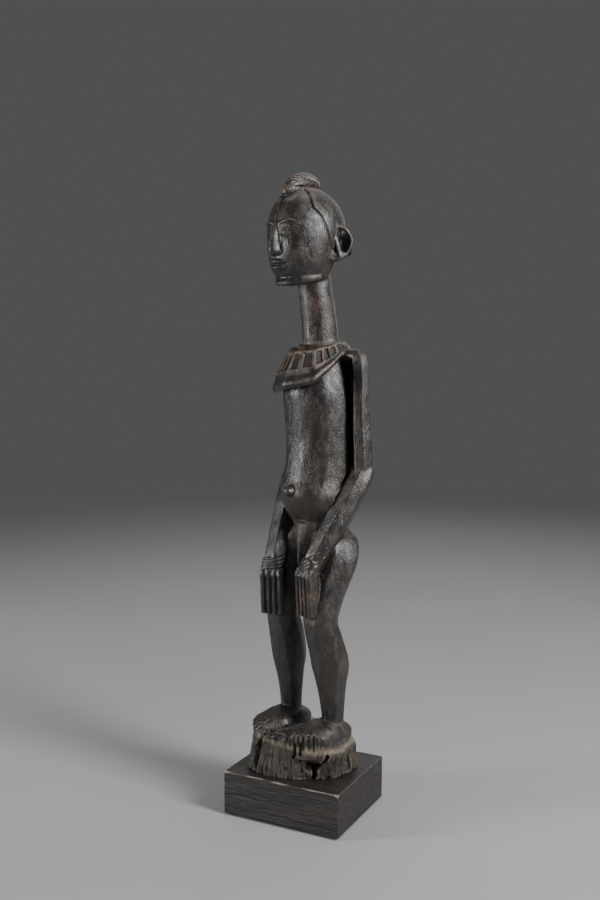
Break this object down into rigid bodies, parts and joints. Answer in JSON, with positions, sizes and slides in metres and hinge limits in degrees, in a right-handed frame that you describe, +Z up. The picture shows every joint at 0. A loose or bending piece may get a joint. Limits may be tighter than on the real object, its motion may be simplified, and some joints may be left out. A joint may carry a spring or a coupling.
{
  "type": "carved ancestor figure",
  "caption": "Standing carved wood ancestor figure with hands on its thighs, on a worn round plinth, studded to a dark block base.",
  "frame": {"origin": "on the ground under the middle of the block base", "axes": "+Z up, -Y out of the block's front face, +X to the figure's left; the figure is turned 20 degrees about Z, towards its own right, against the block"},
  "size_m": [0.1275, 0.112, 0.6301],
  "materials": {
    "carving_wood": "near-black handled patina, glossy on the raised parts, pale bare wood on the worn plinth",
    "block_wood": "blackened open-grained hardwood, satin",
    "steel": "plain zinc-grey steel",
    "felt": "matt black wool felt"
  },
  "bodies": {
    "root": {"carved_figure": "carving_wood", "display_block": "block_wood", "stud_left": "steel", "stud_right": "steel", "washer_left": "steel", "washer_right": "steel", "nut_left": "steel", "nut_right": "steel", "felt_pad_front_left": "felt", "felt_pad_front_right": "felt", "felt_pad_rear_left": "felt", "felt_pad_rear_right": "felt"}
  },
  "joints": []
}
